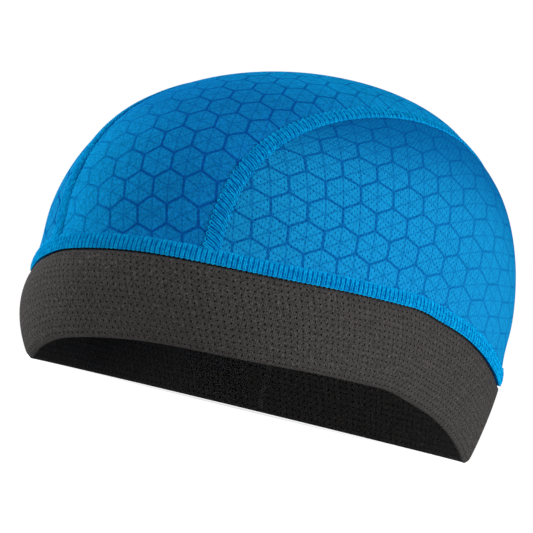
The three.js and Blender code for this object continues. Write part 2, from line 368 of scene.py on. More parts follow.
class Shader:
    """A cloth material and short names for the nodes that it is made of."""

    def __init__(self, name, roughness, gloss=0.0, sheen=0.0, tint=BLUE_SHEEN):
        self.material = bpy.data.materials.new(name)
        self.material.use_nodes = True
        self.tree = self.material.node_tree
        self.surface = self.tree.nodes["Principled BSDF"]
        self.give("Roughness", roughness)
        self.give("Specular IOR Level", gloss)
        self.give("Sheen Weight", sheen)
        self.give("Sheen Roughness", SHEEN_ROUGHNESS)
        self.give("Sheen Tint", tint)

    def feed(self, socket, value):
        if isinstance(value, bpy.types.NodeSocket):
            self.tree.links.new(value, socket)
        else:
            socket.default_value = value

    def give(self, name, value):
        self.feed(self.surface.inputs[name], value)

    def node(self, kind, **inputs):
        node = self.tree.nodes.new(kind)
        for key, value in inputs.items():
            self.feed(node.inputs[key], value)
        return node

    def math(self, operation, *values):
        node = self.tree.nodes.new("ShaderNodeMath")
        node.operation = operation
        for socket, value in zip(node.inputs, values):
            self.feed(socket, value)
        return node.outputs[0]

    def plus(self, *values):
        return self.math("ADD", *values)

    def minus(self, *values):
        return self.math("SUBTRACT", *values)

    def times(self, *values):
        return self.math("MULTIPLY", *values)

    def map(self, layer):
        found = self.node("ShaderNodeUVMap")
        found.uv_map = layer
        split = self.node("ShaderNodeSeparateXYZ", Vector=found.outputs["UV"])
        return split.outputs["X"], split.outputs["Y"]

    def fade(self, value, start, end, first=1.0, last=0.0):
        """first below start, last above end and a smooth step between them."""
        given = {"Value": value, "From Min": start, "From Max": end, "To Min": first, "To Max": last}
        node = self.node("ShaderNodeMapRange", **given)
        node.interpolation_type = "SMOOTHSTEP"
        return node.outputs[0]

    def mix(self, factor, first, second, kind="MIX"):
        node = self.tree.nodes.new("ShaderNodeMix")
        node.data_type = "RGBA"
        node.blend_type = kind
        self.feed(node.inputs[0], factor)
        self.feed(node.inputs[6], first)
        self.feed(node.inputs[7], second)
        return node.outputs[2]

    def noise(self, scale, detail):
        place = self.node("ShaderNodeTexCoord").outputs["Object"]
        return self.node("ShaderNodeTexNoise", Vector=place, Scale=scale, Detail=detail).outputs["Fac"]

    def spread(self, noise, low, high):
        """The noise with the part that it mostly keeps to spread from low to high."""
        return self.fade(noise, *NOISE_PART, low, high)

    def dots(self, u, v, across, down, shift, radius_u, radius_v):
        """Strength of small round holes: rows down apart, each row moved along by shift."""
        row = self.math("ROUND", self.math("DIVIDE", v, down))
        moved = self.minus(u, self.times(row, shift))
        x = self.math("WRAP", moved, across / 2, -across / 2)
        y = self.minus(v, self.times(row, down))
        x = self.math("POWER", self.math("DIVIDE", x, radius_u), 2.0)
        y = self.math("POWER", self.math("DIVIDE", y, radius_v), 2.0)
        return self.fade(self.math("SQRT", self.plus(x, y)), *HOLE_EDGE)

    def relief(self, height, strength, distance):
        bump = self.node("ShaderNodeBump", Height=height, Strength=strength, Distance=distance)
        self.give("Normal", bump.outputs["Normal"])

    def paint(self, colour):
        self.give("Base Color", colour)


def rgb(red, green, blue):
    """A colour for a shader from its display numbers, 0 to 255."""
    values = [c / 255 for c in (red, green, blue)]
    return tuple(c / 12.92 if c <= 0.04045 else ((c + 0.055) / 1.055) ** 2.4 for c in values) + (1.0,)


ROOT3 = math.sqrt(3)
# Strength of each of the two waves that make a knit's height, and turns of the yarn in one stitch's thread
KNIT_WAVE = 0.35
THREAD_TWISTS = 9.0


def hexagons(shader, u, v):
    """Distances to the nearest outline and to the nearest line from a hexagon's middle to a corner."""
    found = []
    for start_u, start_v in ((0.0, 0.0), (0.5, ROOT3 / 2)):
        x = shader.math("WRAP", shader.minus(u, start_u), 0.5, -0.5)
        y = shader.math("WRAP", shader.minus(v, start_v), ROOT3 / 2, -ROOT3 / 2)
        far_x = shader.math("ABSOLUTE", x)
        far_y = shader.times(shader.math("ABSOLUTE", y), ROOT3 / 2)
        half_x = shader.times(far_x, 0.5)
        reach = shader.math("MAXIMUM", far_x, shader.plus(half_x, far_y))
        slant = shader.math("ABSOLUTE", shader.minus(half_x, far_y))
        found.append((reach, shader.math("MINIMUM", far_x, slant)))
    (reach_a, line_a), (reach_b, line_b) = found
    nearer = shader.math("LESS_THAN", reach_a, reach_b)
    line = shader.math("MULTIPLY_ADD", nearer, shader.minus(line_a, line_b), line_b)
    return shader.minus(0.5, shader.math("MINIMUM", reach_a, reach_b)), line


def printed(shader, cloth, ink, strength, spokes, outline, spoke, soft):
    """The cloth's colour with hexagon outlines and fine lines from their middles to their corners.

    outline, spoke and soft, a line's edge, are in hexagon widths, and spokes is the fine lines' strength.
    """
    u, v = shader.map("print")
    edge, line = hexagons(shader, u, v)
    thick = shader.fade(edge, outline, outline + soft)
    thin = shader.times(shader.fade(line, spoke, spoke + soft), spokes)
    lines = shader.times(shader.math("MAXIMUM", thick, thin), strength)
    return shader.mix(lines, cloth, ink)


def knit_height(shader, u, v, wale, course):
    """Height of a fine knit: upright columns of stitches with a slanted half on either side."""
    across = shader.math("WRAP", shader.math("DIVIDE", u, wale), 0.5, -0.5)
    side = shader.math("ABSOLUTE", across)
    along = shader.plus(shader.math("DIVIDE", v, course), side)
    loop = shader.math("SINE", shader.times(along, 2 * math.pi))
    column = shader.math("COSINE", shader.times(across, 2 * math.pi))
    return shader.plus(shader.times(loop, KNIT_WAVE), shader.times(column, KNIT_WAVE))


def greyed(shader, colour, level):
    """The colour made lighter or darker by a level about 1."""
    grey = shader.node("ShaderNodeCombineColor", Red=level, Green=level, Blue=level).outputs[0]
    return shader.mix(1.0, colour, grey, "MULTIPLY")


# u and v are millimetres on the cloth: to the left and along on the strip, to the back and up on a side
# panel, round and down on the band

def jersey_material(name, pale, shaded, ink, spokes):
    shader = Shader(name, 0.8, 0.0, 0.03, BLUE_SHEEN)
    u, v = shader.map("weave")
    grain = shader.noise(1500.0, 3.0)
    patchy = shader.noise(60.0, 2.0)
    tone = shader.plus(shader.spread(grain, 0.74, 1.26), shader.spread(patchy, -0.05, 0.05))
    # Painted light and shade: paler low on the right side and towards the back, darker towards the upper
    # front
    low = shader.times(shader.fade(u, -32.0, 15.0), shader.fade(v, 30.0, 75.0, 1.0, 0.1))
    behind = shader.fade(v, 70.0, 135.0, 0.0, 0.95)
    cloth = shader.mix(shader.math("MAXIMUM", low, behind), shaded, pale)
    # The print is worn towards the right side and the back
    worn_right = shader.fade(u, -26.0, 2.0, 0.5, 1.0)
    worn_back = shader.fade(v, 70.0, 150.0, 1.0, 0.6)
    strength = shader.times(worn_right, worn_back)
    colour = printed(shader, cloth, ink, strength, spokes, outline=0.026, spoke=0.006, soft=0.034)
    shader.paint(greyed(shader, colour, tone))
    knit = knit_height(shader, u, v, wale=0.5, course=0.45)
    height = shader.plus(knit, shader.times(grain, 0.8))
    shader.relief(height, strength=0.35, distance=0.00012)
    return shader.material


def mesh_material(name, pale, shaded, ink, hole, spokes):
    shader = Shader(name, 0.8, 0.0, 0.03, BLUE_SHEEN)
    u, v = shader.map("weave")
    grain = shader.noise(1700.0, 3.0)
    patchy = shader.noise(350.0, 2.0)
    # The print is worn towards the back, and the cloth is painted darker near its upper edge, as shade under
    # the seam
    strength = shader.fade(u, -70.0, 45.0, 0.78, 0.42)
    cloth = shader.mix(shader.fade(v, 36.0, 74.0, 0.0, 1.0), pale, shaded)
    colour = printed(shader, cloth, ink, strength, spokes, outline=0.023, spoke=0.005, soft=0.036)
    colour = greyed(shader, colour, shader.spread(grain, 0.82, 1.18))
    # Holes of uneven darkness, which close towards the back
    holes = shader.dots(u, v, across=2.34, down=1.1, shift=1.17, radius_u=0.20, radius_v=0.42)
    uneven = shader.spread(patchy, 0.45, 1.0)
    open_holes = shader.times(uneven, shader.fade(u, -20.0, 45.0, 1.0, 0.3))
    holes = shader.times(holes, open_holes)
    shader.paint(shader.mix(shader.times(holes, 0.95), colour, hole))
    ribs = knit_height(shader, u, v, wale=1.17, course=1.1)
    height = shader.minus(shader.plus(ribs, grain), shader.times(holes, 2.0))
    shader.relief(height, strength=0.35, distance=0.00015)
    return shader.material


def knit_material(name, cloth, hole):
    shader = Shader(name, 0.85, 0.1, 0.05, GREY_SHEEN)
    u, v = shader.map("weave")
    grain = shader.noise(1500.0, 3.0)
    # Small light specks at random places are painted highlights on the yarn
    glint_specks = shader.noise(900.0, 1.0)
    tone = shader.plus(shader.spread(grain, 0.55, 1.45), shader.fade(glint_specks, 0.6, 0.72, 0.0, 0.7))
    colour = greyed(shader, cloth, tone)
    holes = shader.dots(u, v, across=2.45, down=2.0, shift=0.72, radius_u=0.30, radius_v=0.36)
    shader.paint(shader.mix(holes, colour, hole))
    ribs = knit_height(shader, u, v, wale=0.82, course=0.67)
    height = shader.minus(shader.plus(ribs, grain), shader.times(holes, 2.5))
    shader.relief(height, strength=0.7, distance=0.0002)
    return shader.material


def thread_material(name, colour, dark):
    shader = Shader(name, 0.6)
    grain = shader.noise(1500.0, 3.0)
    uneven = shader.noise(650.0, 2.0)
    shader.paint(shader.mix(shader.spread(uneven, 0.0, 1.0), dark, colour))
    around, along = shader.map("weave")
    twist = shader.plus(shader.times(along, THREAD_TWISTS), around)
    strands = shader.math("SINE", shader.times(twist, 2 * math.pi))
    shader.relief(shader.plus(strands, grain), strength=0.35, distance=0.00006)
    return shader.material


HOLE_BLACK = rgb(3, 3, 3)

JERSEY = jersey_material(
    "printed_jersey", pale=rgb(13, 148, 212), shaded=rgb(14, 122, 189), ink=rgb(8, 82, 160), spokes=0.5,
)
JERSEY_INSIDE = jersey_material(
    "printed_jersey_inside",
    pale=rgb(40, 140, 196), shaded=rgb(34, 124, 180), ink=rgb(30, 110, 170), spokes=0.3,
)
MESH = mesh_material(
    "printed_mesh",
    pale=rgb(21, 146, 208), shaded=rgb(12, 113, 178), ink=rgb(6, 78, 155), hole=rgb(5, 42, 120), spokes=0.6,
)
MESH_INSIDE = mesh_material(
    "printed_mesh_inside",
    pale=rgb(50, 145, 198), shaded=rgb(44, 132, 186), ink=rgb(40, 118, 176), hole=rgb(10, 60, 120), spokes=0.3,
)
THREAD = thread_material("seam_thread", rgb(12, 178, 236), rgb(6, 142, 210))
SEAM_CLOTH = thread_material("seam_cloth", rgb(0, 113, 194), rgb(0, 98, 176))
KNIT = knit_material("band_knit", rgb(64, 61, 60), HOLE_BLACK)
# The band's inside is the same knit painted darker, as painted shade inside the cap
KNIT_INSIDE_SHADED = knit_material("band_knit_inside_shaded", rgb(50, 48, 46), HOLE_BLACK)
DARK_THREAD = thread_material("band_thread", rgb(78, 76, 75), rgb(54, 52, 51))


# The print's place on the cloth: hexagon columns and rows as curves of the place x and y on it, in tenths of
# a metre, fitted to the photograph's hexagon middles, and how they run on for each millimetre beyond that

PRINT = {
    "strip": [
        {"start": -0.98, "x": 8.83, "y": 2.39, "xx": 0.69, "xy": 0.22, "yy": 0.67, "beyond": 0.029},
        {"start": 3.28, "x": 1.67, "y": -10.7, "xx": -2.48, "xy": 0.43, "yy": 1.62, "beyond": -0.084},
    ],
    "side": [
        {"start": 3.75, "x": 6.20, "y": 0.25, "xx": -0.97, "xy": -1.17, "yy": -1.76, "beyond": 0.066},
        {"start": 5.13, "x": 0.34, "y": -12.03, "xx": -0.11, "xy": 0.19, "yy": 2.11, "beyond": -0.003},
    ],
}
# The length where the fitted part ends, and how softly
STRIP_SEEN = 128.0
SIDE_SEEN = 55.0
EASE = 8.0


def seen_part(length, reach):
    """The length itself up to about reach, and reach beyond it."""
    return length - EASE * np.logaddexp(0, (length - reach) / EASE)


def lattice(cloth, across, along, beyond):
    """The print's pairs at a place in the fitted part and a length beyond it."""
    x = across / 100
    y = along / 100
    column, row = (
        line["start"] + line["x"] * x + line["y"] * y
        + line["xx"] * x * x + line["xy"] * x * y + line["yy"] * y * y + line["beyond"] * beyond
        for line in PRINT[cloth]
    )
    return np.stack([column, row * ROOT3 / 2], -1)


# The three panels

# How far a panel runs on under the seams beside it, and the height where it starts
TUCK = 1.3
PANEL_BASE_HEIGHT = 3.4
PANEL_BASE = float(section_size(PANEL_BASE_HEIGHT))
# A slight gathering of the cloth: its height, its waves and how they drift, and its reach from a seam
RIPPLE = 0.10
RIPPLE_RATE = 1.15
RIPPLE_DRIFT = 0.8
DRIFT_RATE = 0.31
STRIP_GATHER = 7.0
SIDE_GATHER = 6.0
# Rows and columns of the panels, and numbers of points to measure the dome with
STRIP_ROWS = 241
STRIP_COLUMNS = 49
PANEL_ROWS = 61
PANEL_COLUMNS = 221
CROWN_POINTS = 801
LEVEL_POINTS = 721
RISE_POINTS = 160


def ripple(place, reach):
    x, y, size, _ = np.broadcast_arrays(*place)
    near_seam = dip(np.abs(x), strip_half(x, height_share(size)), reach)
    return RIPPLE * near_seam * np.cos(y * RIPPLE_RATE + RIPPLE_DRIFT * np.sin(y * DRIFT_RATE))


def panel_piece(name, place, reach, pairs, materials, step=1):
    """One panel from its grid of places, how far its gathering reaches, and its print's and weave's pairs."""
    gathered = ripple(place, reach)
    grids = [crown_point(place, gathered), crown_point(place, gathered - CLOTH), *pairs]
    grids = [grid[::step] for grid in grids]
    points, quads, part = shell(*grids[:2])
    both = [np.tile(grid.reshape(-1, 2), (2, 1)) for grid in grids[2:]]
    return make_piece(name, points, quads, {"print": both[0], "weave": both[1]}, part, materials)


def centre_panel():
    turns = np.linspace(0, 1, STRIP_ROWS)
    columns = np.linspace(0, 1, STRIP_COLUMNS)
    off = TUCK - SEAM_WIDTH / 2
    edge_left = seam_place(1, turns, off, PANEL_BASE)[0]
    edge_right = seam_place(-1, turns, off, PANEL_BASE)[0]
    x = edge_right + columns[:, None] * (edge_left - edge_right)
    place = strip_place(x, np.broadcast_to(turns, x.shape), PANEL_BASE)
    # Length over the crown from the front of the dome's foot, along each column of the grid
    full = np.linspace(0, 1, CROWN_POINTS)
    length = np.zeros(x.shape)
    for i in range(len(columns)):
        path = strip_place(np.interp(full, turns, x[i]), full, 1.0)
        length[i] = np.interp(place[1][i], path[1], arc_along(dome_point(path)))
    near = seen_part(length, STRIP_SEEN)
    pairs = (lattice("strip", x, near, length - near), np.stack([x, length], -1))
    piece = panel_piece("jersey_strip", place, STRIP_GATHER, pairs, [JERSEY, JERSEY_INSIDE])
    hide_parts("centre_panel")
    return piece


def side_panel(side, name, node):
    turns = np.linspace(0, 1, PANEL_COLUMNS)
    rows = np.linspace(0, 1, PANEL_ROWS)
    top = seam_place(side, turns, SEAM_WIDTH / 2 - TUCK, PANEL_BASE)
    base_lean = math.acos(PANEL_BASE)
    top_lean = np.arccos(np.clip(top[2], -1, 1))
    lean = base_lean + (top_lean - base_lean)[:, None] * rows ** BASE_CROWDING
    angle = np.broadcast_to(top[3][:, None], lean.shape)
    # Level length from the side's middle, and length up from the dome's foot
    level = np.linspace(0, np.pi, LEVEL_POINTS)
    base_arc = arc_along(dome_point(place_at(level, 1.0)))
    base_arc = base_arc - np.interp(np.pi / 2, level, base_arc)
    along = np.interp(np.abs(angle), level, base_arc) * np.cos(lean)
    up = np.zeros(lean.shape)
    for i in range(len(turns)):
        leans = np.linspace(0, max(top_lean[i], base_lean + 1e-4), RISE_POINTS)
        path = dome_point(place_at(np.full(len(leans), abs(angle[i, 0])), np.cos(leans)))
        up[i] = np.interp(lean[i], leans, arc_along(path))
    near = seen_part(along, SIDE_SEEN)
    pairs = (lattice("side", near, up, along - near), np.stack([along, up], -1))
    place = place_at(angle, np.cos(lean))
    piece = panel_piece(name, place, SIDE_GATHER, pairs, [MESH, MESH_INSIDE], step=side)
    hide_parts(node)
    return piece


# The flat seams: a low ridge of cloth under two rows of strands, with dark marks in the needles' rows and a
# looped thread along each edge

# The ridge: its height at its edges, how much higher its middle is, and its reach inside the panels
RIDGE_EDGE = 0.18
RIDGE_RISE = 0.42
RIDGE_FLATNESS = 4
RIDGE_BACKING = 0.1
RIDGE_ROWS = 9
# Needle marks: places along one, how blunt its ends are, and its height as a share of its width
MARK_STATIONS = np.linspace(-1, 1, 5)
MARK_ROUNDING = 1.1
MARK_FLATNESS = 0.7
# The share of its size that a strand keeps at its ends, and the steps of an edge's thread in a stitch
END_SHARE = 0.6
EDGE_STEPS = 8

# A side seam: where it starts above the base, the reach of its strands, and its needles' rows
SIDE_SEAM_BASE = 4.6
STITCH_REACH = 2.6
NEEDLE_ROW = 1.15
NEEDLE_WIDTH = 0.4
SIDE_COLUMNS = 361
SIDE_STEPS = 3001
SIDE_STATIONS = 13
# Length of its stitches at places along it from the front
SIDE_STITCH_PLACES = [0, 30, 60, 100, 140, 180]
SIDE_STITCHES = [1.9, 1.95, 2.3, 2.75, 2.6, 2.2]
# How a strand slants, where it starts to bend further, and by how much the slant and width of each differ
STITCH_SLANT = 0.5
STITCH_BEND = 0.25
BEND_START = 0.8
SLANT_SPREAD = 0.12
WIDTH_SPREAD = 0.15
# Two strands lie beside the middle of each stitch: how far from it and how wide, as shares of the stitch,
# their height and how proud they lie, and how much less these are at the needles' rows and at the ends
APART = 0.215
APART_LESS = 0.04
END_LESS = 0.03
WIDTH = 0.15
WIDTH_LESS = 0.2
HEIGHT = 0.3
PROUD = 0.05
PROUD_LESS = 0.12
# The thread along each edge, by its middle and its swing: how far out, how proud and how thick
LOOP_OFF = (0.12, -0.28)
LOOP_PROUD = (0.2, -0.12)
LOOP_SIZE = (0.22, -0.06)
MARK_LENGTH = 1.2
MARK_SIZE = 0.22
MARK_PROUD = 0.12

# The same for the band's seam. Its needles' rows are shares of its height, and its stitches are counted at a
# height, with their lengths at angles from the front, on both sides alike
NEEDLE_SHARES = (0.36, 0.68)
BAND_NEEDLE_WIDTH = 0.35
BAND_SEAM_COLUMNS = 720
BAND_STEPS = 4001
BAND_STATIONS = 12
COUNT_HEIGHT = 3.0
STITCH_ANGLES = [0, 45, 65, 180]
STITCHES = [1.78, 1.78, 2.12, 2.12]
STRAND_FOOT = 0.05
STRAND_TOP = 6.0
BAND_APART = 0.20
BAND_APART_LESS = 0.03
FOOT_LESS = 0.05
FOOT_HEIGHT = 0.2
FOOT_WIDTH = 0.6
BAND_WIDTH = 0.185
BAND_WIDTH_LESS = 0.03
BAND_STRANDS = 0.26
BAND_PROUD = 0.08
BAND_PROUD_LESS = 0.15
FOOT_PROUD_LESS = 0.1
UPPER_LOOP = (BAND_SEAM_HEIGHT + 0.22, -0.22)
LOWER_LOOP = (GAP - 0.1, 0.2)
LOWEST_LOOP = 0.02
BAND_LOOP_PROUD = (0.34, -0.14)
BAND_LOOP_SIZE = 0.2
BAND_MARK_LENGTH = 0.95
BAND_MARK_SIZE = 0.24
BAND_MARK_PROUD = 0.14


def swung(level, wave):
    """A level given by its middle and its swing, where wave goes from -1 to 1."""
    return level[0] + level[1] * wave


def seam_ridge(across):
    """Height of a seam's cloth above the panels, where across goes from -1 to 1."""
    return RIDGE_EDGE + RIDGE_RISE * (1 - np.abs(across) ** RIDGE_FLATNESS)


def seam_cloth(place, ridge, step=1, closes=False):
    """A seam's closed ridge of cloth: points, faces and empty pairs of numbers."""
    outer = crown_point(place, ridge)[::step]
    inner = crown_point(place, -CLOTH - RIDGE_BACKING)[::step]
    points, quads, _ = shell(outer, inner, closes)
    return points, quads, np.zeros((len(points), 2))


def stitch_numbers(length, pitch):
    """The number of stitches up to each place along a seam, made to end with a whole one, and how many."""
    stitches = np.concatenate([[0], np.cumsum(np.diff(length) / pitch[1:])])
    count = int(round(stitches[-1]))
    return stitches * (count / stitches[-1]), count


def needle_marks(place, height, size):
    paths = crown_point(place, height)
    width = size * np.sqrt(MARK_ROUNDING - MARK_STATIONS ** 2)
    return tubes(paths, dome_normal(place), width, width * MARK_FLATNESS)


def seam_piece(name, cloth, marks, threads):
    """One piece with the cloth and the needle marks in the darker thread and the rest in the bright one."""
    points, quads, uv, part = joined([cloth] + marks + threads)
    bright = (part > len(marks)).astype(int)
    return make_piece(name, points, quads, {"weave": uv}, bright, [SEAM_CLOTH, THREAD])


def stitch_lean(level, side):
    """How far a strand of a side seam runs on along the seam at a level across it."""
    level = level * side
    return side * (-STITCH_SLANT * level - STITCH_BEND * np.maximum(level - BEND_START, 0) ** 2)


def side_seam(side, name, node):
    base = float(section_size(SIDE_SEAM_BASE))
    across = np.linspace(-1, 1, RIDGE_ROWS)
    turn = np.broadcast_to(np.linspace(0, 1, SIDE_COLUMNS), (RIDGE_ROWS, SIDE_COLUMNS))
    place = seam_place(side, turn, across[:, None] * STITCH_REACH, base)
    cloth = seam_cloth(place, seam_ridge(across)[:, None], step=side)

    draw = np.random.default_rng(7 + side)
    fine = np.linspace(0, 1, SIDE_STEPS)
    length = arc_along(crown_point(seam_place(side, fine, 0.0, base), 0.0))
    pitch = np.interp(length, SIDE_STITCH_PLACES, SIDE_STITCHES)
    stitches, count = stitch_numbers(length, pitch)
    middle = np.arange(count) + 0.5

    def at_reach(reach, level):
        """Places at a length along the seam and a level across it."""
        turn = np.interp(np.clip(reach, 0, length[-1]), length, fine)
        return seam_place(side, turn, level, base)

    stations = np.linspace(-1, 1, SIDE_STATIONS)
    level = stations * STITCH_REACH
    needles = dip(level, NEEDLE_ROW, NEEDLE_WIDTH) + dip(level, -NEEDLE_ROW, NEEDLE_WIDTH)
    ending = np.abs(stations) == 1
    ends = np.where(ending, END_SHARE, 1.0)
    proud = seam_ridge(stations) + PROUD - PROUD_LESS * needles
    threads = []
    for half in (-1, 1):
        beside = half * (APART - APART_LESS * needles - END_LESS * ending)
        slant = SLANT_SPREAD * draw.uniform(-1, 1, count)
        reach = np.interp(middle[:, None] + beside, stitches, length)
        reach = reach + stitch_lean(level, side) + slant[:, None] * level
        place = at_reach(reach, level)
        drawn = draw.uniform(1 - WIDTH_SPREAD, 1 + WIDTH_SPREAD, (count, 1))
        width = np.interp(reach, length, pitch) * WIDTH * (1 - WIDTH_LESS * needles) * ends * drawn
        threads.append(tubes(crown_point(place, proud), dome_normal(place), width, HEIGHT * ends))
    for edge in (-1, 1):
        spots = np.linspace(0, length[-1], count * EDGE_STEPS + 1)
        shift = stitch_lean(edge * STITCH_REACH, side)
        wave = np.cos(2 * np.pi * np.interp(spots - shift, length, stitches))
        place = at_reach(spots, edge * (STITCH_REACH + swung(LOOP_OFF, wave)))
        path = crown_point(place, swung(LOOP_PROUD, wave))[None]
        size = swung(LOOP_SIZE, wave)
        threads.append(tubes(path, dome_normal(place)[None], size, size))
    marks = []
    for row in (-NEEDLE_ROW, NEEDLE_ROW):
        level = row + MARK_STATIONS * MARK_LENGTH / 2
        reach = np.interp(middle + 0.5, stitches, length)[:, None] + stitch_lean(level, side)
        rise = seam_ridge(row / STITCH_REACH) + MARK_PROUD
        marks.append(needle_marks(at_reach(reach, level), rise, MARK_SIZE))
    piece = seam_piece(name, cloth, marks, threads)
    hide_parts(node)


def band_seam():
    def across_at(heights):
        return 2 * (heights - GAP) / (BAND_SEAM_HEIGHT - GAP) - 1

    turns = np.linspace(0, 2 * np.pi, BAND_SEAM_COLUMNS + 1)[:-1]
    heights = np.linspace(GAP, BAND_SEAM_HEIGHT, RIDGE_ROWS)
    place = place_at(turns[:, None], section_size(heights))
    cloth = seam_cloth(place, seam_ridge(across_at(heights)), closes=True)

    fine = np.linspace(-np.pi, np.pi, BAND_STEPS)
    length = arc_along(dome_point(place_at(fine, section_size(COUNT_HEIGHT))))
    pitch = np.interp(np.degrees(np.abs(fine)), STITCH_ANGLES, STITCHES)
    stitches, count = stitch_numbers(length, pitch)
    middle = np.arange(count) + 0.5

    heights = np.linspace(STRAND_FOOT, STRAND_TOP, BAND_STATIONS)
    rows = [BAND_SEAM_HEIGHT * share for share in NEEDLE_SHARES]
    above = 1 / (1 + np.exp(-(heights - rows[1]) / BAND_NEEDLE_WIDTH))
    needles = sum(dip(heights, row, BAND_NEEDLE_WIDTH) for row in rows)
    foot = heights == STRAND_FOOT
    ends = np.where(foot | (heights == STRAND_TOP), END_SHARE, 1.0)
    proud = seam_ridge(np.clip(across_at(heights), -1, 1))
    proud = proud + BAND_PROUD - BAND_PROUD_LESS * needles - FOOT_PROUD_LESS * foot
    apart = BAND_APART - BAND_APART_LESS * (needles + above)
    apart = apart - FOOT_LESS * dip(heights, FOOT_HEIGHT, FOOT_WIDTH)
    threads = []
    for half in (-1, 1):
        at = middle[:, None] + half * apart
        local = np.interp(at, stitches[1:], np.diff(length) / np.diff(stitches))
        place = place_at(np.interp(at, stitches, fine), section_size(heights))
        width = (BAND_WIDTH - BAND_WIDTH_LESS * needles) * ends * local
        height = BAND_STRANDS * ends
        threads.append(tubes(crown_point(place, proud), dome_normal(place), width, height))
    spots = np.append(np.arange(count * EDGE_STEPS), 0) / EDGE_STEPS
    wave = np.cos(2 * np.pi * spots)
    for loop in (UPPER_LOOP, LOWER_LOOP):
        size = section_size(np.maximum(swung(loop, wave), LOWEST_LOOP))
        place = place_at(np.interp(spots, stitches, fine), size)
        path = crown_point(place, swung(BAND_LOOP_PROUD, wave))[None]
        threads.append(tubes(path, dome_normal(place)[None], BAND_LOOP_SIZE, BAND_LOOP_SIZE))
    marks = []
    angle = np.interp(middle + 0.5, stitches, fine)[:, None]
    for row in rows:
        level = row + MARK_STATIONS * BAND_MARK_LENGTH / 2
        place = place_at(angle, section_size(level))
        marks.append(needle_marks(place, seam_ridge(across_at(level)) + BAND_MARK_PROUD, BAND_MARK_SIZE))
    piece = seam_piece("band_seam_stitching", cloth, marks, threads)
    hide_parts("band_seam")


# The dark band, turned double at the rim

# Heights of the flat parts of its outline, and the outline as heights above the rim and distances inward,
# from the top outside, round the fold, to the top inside
FLAT_OUTSIDE = [27.8, 26.5, 25, 23.5, 22, 20, 18, 16, 14, 12, 10, 8, 6.5, 5, 3.8, 2.7]
FLAT_INSIDE = [2.6, 5, 9, 14, 19, 24, 28]
BAND_PROFILE = [
    (31.0, 1.1), (30.0, 1.1), (29.4, 1.0), (28.9, 0.65), (28.4, 0.2),
    *((height, 0.0) for height in FLAT_OUTSIDE),
    (1.9, 0.05), (1.3, 0.18), (0.8, 0.38), (0.4, 0.65), (0.12, 0.95), (0.0, 1.3),
    (0.1, 1.65), (0.4, 1.95), (0.9, 2.2), (1.6, 2.35),
    *((height, BAND_CLOTH) for height in FLAT_INSIDE),
    (30.0, 2.3), (31.0, 2.1),
]
# The row of the outline from which the faces are the band's inside
INSIDE_ROW = 28
BAND_COLUMNS = 540
# The height where the band's own length is measured
WEAVE_HEIGHT = 20.0


def band():
    angles = np.radians(JOIN_ANGLE) + np.linspace(0, 2 * np.pi, BAND_COLUMNS + 1)
    heights, inward = np.array(BAND_PROFILE).T
    rows = len(heights)
    points = band_point(angles[:, None], heights, inward).reshape(-1, 3)
    number = np.arange(len(points)).reshape(-1, rows)
    a, b = number[:-1], number[1:]
    walls = np.stack([a[:, 1:], b[:, 1:], b[:, :-1], a[:, :-1]], -1)
    head = np.stack([a[:, 0], b[:, 0], b[:, -1], a[:, -1]], -1)
    quads = np.concatenate([walls.reshape(-1, 4), head])
    # Faces from this row on take the darker knit, painted shade
    inside = np.tile(np.arange(rows - 1) >= INSIDE_ROW, BAND_COLUMNS)
    part = np.concatenate([inside, np.zeros(BAND_COLUMNS)]).astype(int)
    along = arc_along(band_point(angles, WEAVE_HEIGHT, 0.0))
    down = arc_along(np.stack([heights, inward], -1))
    weave = np.stack(np.broadcast_arrays(along[:, None], down), -1).reshape(-1, 2)
    piece = make_piece("band_cloth", points, quads, {"weave": weave}, part, [KNIT, KNIT_INSIDE_SHADED])
    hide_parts("band")
    return piece


# The join's ridge: its grid, how far it keeps from its edges, from where to where it runs up, and its height
JOIN_STATIONS = 7
JOIN_ROWS = 41
JOIN_MARGIN = 0.2
JOIN_BOTTOM = 1.2
JOIN_TOP = 29.2
JOIN_LIFT = 0.05
JOIN_RIDGE = 0.3
# Its cross threads: how many, the lowest and highest, their slope and size, how proud they lie, by how much
# less at their ends, and how far from the middle these begin
JOIN_THREADS = 30
LOWEST_THREAD = 1.6
HIGHEST_THREAD = 29.0
THREAD_SLOPE = 0.3
THREAD_WIDTH = 0.3
THREAD_FLATNESS = 0.6
THREAD_PROUD = 0.42
THREAD_SINK = 0.35
THREAD_END = 1.5


